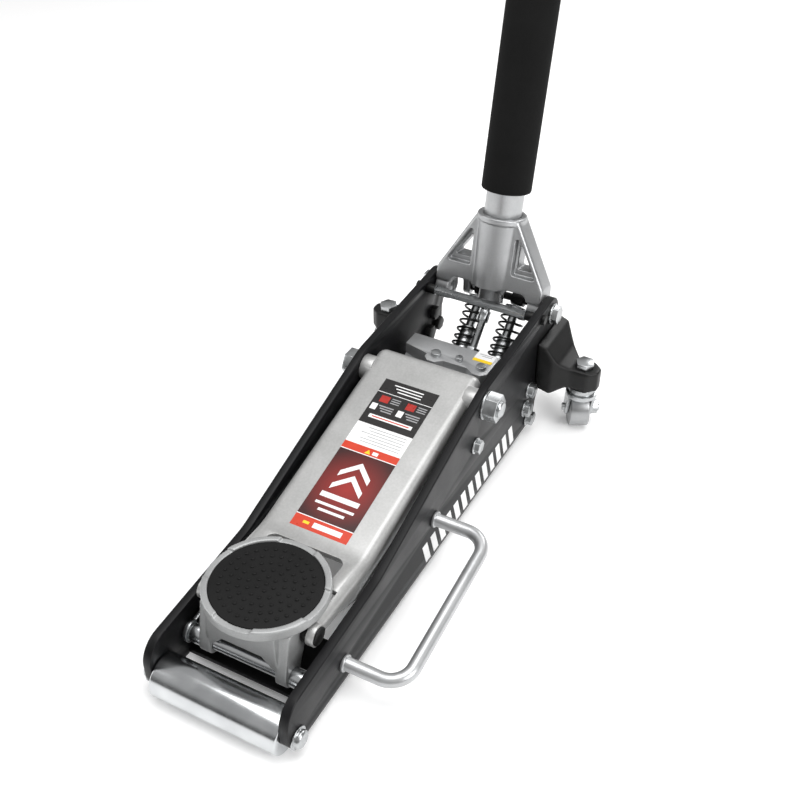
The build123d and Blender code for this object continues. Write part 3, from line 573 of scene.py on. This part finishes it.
# A small paper sticker near the block's left front corner, with a yellow edge.
STICKER_BACK, STICKER_LEFT = 36.0, 34.0  # from the block's foremost lobe and the centre plane
block_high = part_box("pump_block")[1]
sticker_corner = (block_high.x - STICKER_BACK * MM, STICKER_LEFT * MM, block_high.z)
sticker = [
    patch(0, 15, -9, 11, label_white, 0),
    patch(10.5, 15, -9, 11, label_yellow),
    patch(2, 3, -6, 8, label_grey),
    patch(4.5, 5.5, -6, 5, label_grey),
]
printed("block_sticker", "pump_block", sticker_corner, (1, 0, 0), (0, 1, 0), laid_up(sticker))

# ---------------------------------------------------------------- pumps, springs and release rod
# Two plunger pumps with turned barrels. A coil of 2.4 mm black spring wire lifts each plunger,
# and two coils of 2 mm wire under the arm pull it down again.
machined("pump_barrels", zinc, 0.4)
machined("release_rod", zinc, 0.3)
machined("release_sleeve", zinc, 0.3)
spring_wire, _, _ = worked(
    "spring_steel_black_oiled", "090909", "131313", 0.1, (0.3, 0.42), 0.8, 0.005, specular=0.35
)
STEPS_PER_TURN = 28
EVEN = 0.75  # share of a coil's rise that is even, and the rest closes its end turns


def coil(name, foot, axis, length, radius, wire, turns):
    """A compression or tension spring: a round wire wound about an axis, its end turns closed."""
    axis = Vector(axis).normalized()
    side = axis.orthogonal().normalized()
    other = axis.cross(side)
    curve = bpy.data.curves.new(name, "CURVE")
    curve.dimensions = "3D"
    curve.bevel_depth = wire / 2 * MM
    curve.bevel_resolution = 4
    curve.use_fill_caps = True
    steps = turns * STEPS_PER_TURN
    line = curve.splines.new("POLY")
    line.points.add(steps)
    span = length - wire
    for i in range(steps + 1):
        t = i / steps
        rise = 0.5 - cos(pi * t) / 2
        height = wire / 2 + span * ((1 - EVEN) * rise + EVEN * t)
        angle = 2 * pi * turns * t
        around = side * cos(angle) + other * sin(angle)
        spot = Vector(foot) + axis * height * MM + around * radius * MM
        line.points[i].co = (*spot, 1)
    holder = bpy.data.objects.new(name, curve)
    bpy.context.scene.collection.objects.link(holder)
    graph = bpy.context.evaluated_depsgraph_get()
    wound = bpy.data.meshes.new_from_object(holder.evaluated_get(graph))
    bpy.data.objects.remove(holder)
    wound.materials.append(spring_wire)
    wound.shade_smooth()
    spring = bpy.data.objects.new(name, wound)
    bpy.context.scene.collection.objects.link(spring)
    return spring


UPHILL = Vector((-sqrt(0.5), 0, sqrt(0.5)))  # both pumps slope up to the rear at 45 degrees
PUMP_FOOT = Vector((-118.8, 0, 54.2)) * MM  # where the pumps' plane meets the block's sloping face
PUMP_APART, COLLAR = 21.0, 6.3  # each pump from the centre plane, and the collar under its coil
for name, side in (("left", 1), ("right", -1)):
    foot = PUMP_FOOT + Vector((0, side * PUMP_APART * MM, 0)) + UPHILL * COLLAR * MM
    spring = coil(f"pump_coil_{name}", foot, UPHILL, 56.5, 12.0, 2.4, 7)
    stand_in(spring, f"pump_spring_{name}")
    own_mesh(spring)

RETURN_APART = 36.0  # each return spring from the centre plane
spring_low, spring_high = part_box("return_springs")
centre_x = (spring_low.x + spring_high.x) / 2
length = (spring_high.z - spring_low.z) / MM
coils = []
for side in (1, -1):
    foot = (centre_x, side * RETURN_APART * MM, spring_low.z)
    coils.append(coil("return_coil", foot, (0, 0, 1), length, 5.4, 2.0, 12))
with bpy.context.temp_override(active_object=coils[0], selected_editable_objects=coils):
    bpy.ops.object.join()
return_coils = coils[0]
return_coils.name = "return_coils"
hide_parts("return_springs")
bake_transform(return_coils)

# ---------------------------------------------------------------- handle socket
# An aluminium casting in an A shape with two windows, shot-blasted and tumbled: soft silver
# with a sparkle from the blasting, brighter on the boss that holds the tube.
blasted, _, _ = worked(
    "aluminium_cast_shot_blasted", "999A9B", "B3B4B5", 0.8, (0.32, 0.44), 0.6, 0.03
)
cast("handle_socket", blasted, 0.9, 10)
machined("handle_cup", blasted, 0.3)
machined("socket_bolts", zinc, 0.4)
machined("press_rollers", black_oxide, 0.4)

# The flat bar that stops the handle is zinc-plated between two black spacers.
SPACER_FROM = 50.1  # from the centre plane to a spacer's inner end
stop = machined("stop_bar", zinc, 0.4)
stop.data.materials.append(black_oxide)
for face in stop.data.polygons:
    if abs(face.center.y) > SPACER_FROM * MM:
        face.material_index = 1

# ---------------------------------------------------------------- handle
# Two steel tubes, one in the other, sprayed silver. The lower one wears a thick sleeve of
# closed-cell foam that saves a car's sill, and the upper one a smooth rubber grip.
tube_silver, _, _ = worked(
    "steel_tube_silver_painted", "A2A3A4", "B7B8B9", 0.75, (0.28, 0.36), 0.4, 0.004, stretch=(1, 1, 0.2)
)
machined("handle_tube_lower", tube_silver, 0.4)
machined("handle_tube_upper", tube_silver, 0.4)
machined("snap_button", zinc, 0.2)

foam, _, _ = worked(
    "foam_closed_cell_black", "101010", "191919", 0.0, (0.8, 0.95), 0.8, 0.08, specular=0.12
)
machined("handle_foam", foam, 1.5)

grip_rubber, _, _ = worked(
    "rubber_smooth_black", "0E0E0E", "181818", 0.0, (0.55, 0.7), 0.6, 0.03, specular=0.25
)
machined("handle_grip", grip_rubber, 0.8)

# ---------------------------------------------------------------- casters
# Black cast brackets bolted to the plates, each with a zinc-plated fork that swivels on its
# kingpin and a turned steel wheel.
black_cast, _, _ = worked(
    "iron_cast_black_powder_coated", "0A0A0A", "131313", 0.0, (0.36, 0.5), 1.3, 0.03, specular=0.3
)
turned_steel, _, _ = worked(
    "steel_turned_dull", "8A8B8C", "B2B3B4", 0.95, (0.28, 0.42), 0.5, 0.012, stretch=(3, 1, 3)
)
for name in ("left", "right"):
    cast(f"caster_bracket_{name}", black_cast, 1.2, 20)
    machined(f"caster_fork_{name}", zinc, 0.3)
    machined(f"caster_wheel_{name}", turned_steel, 0.8)
machined("bracket_bolts", black_oxide, 0.3)
machined("kingpins", zinc, 0.4)
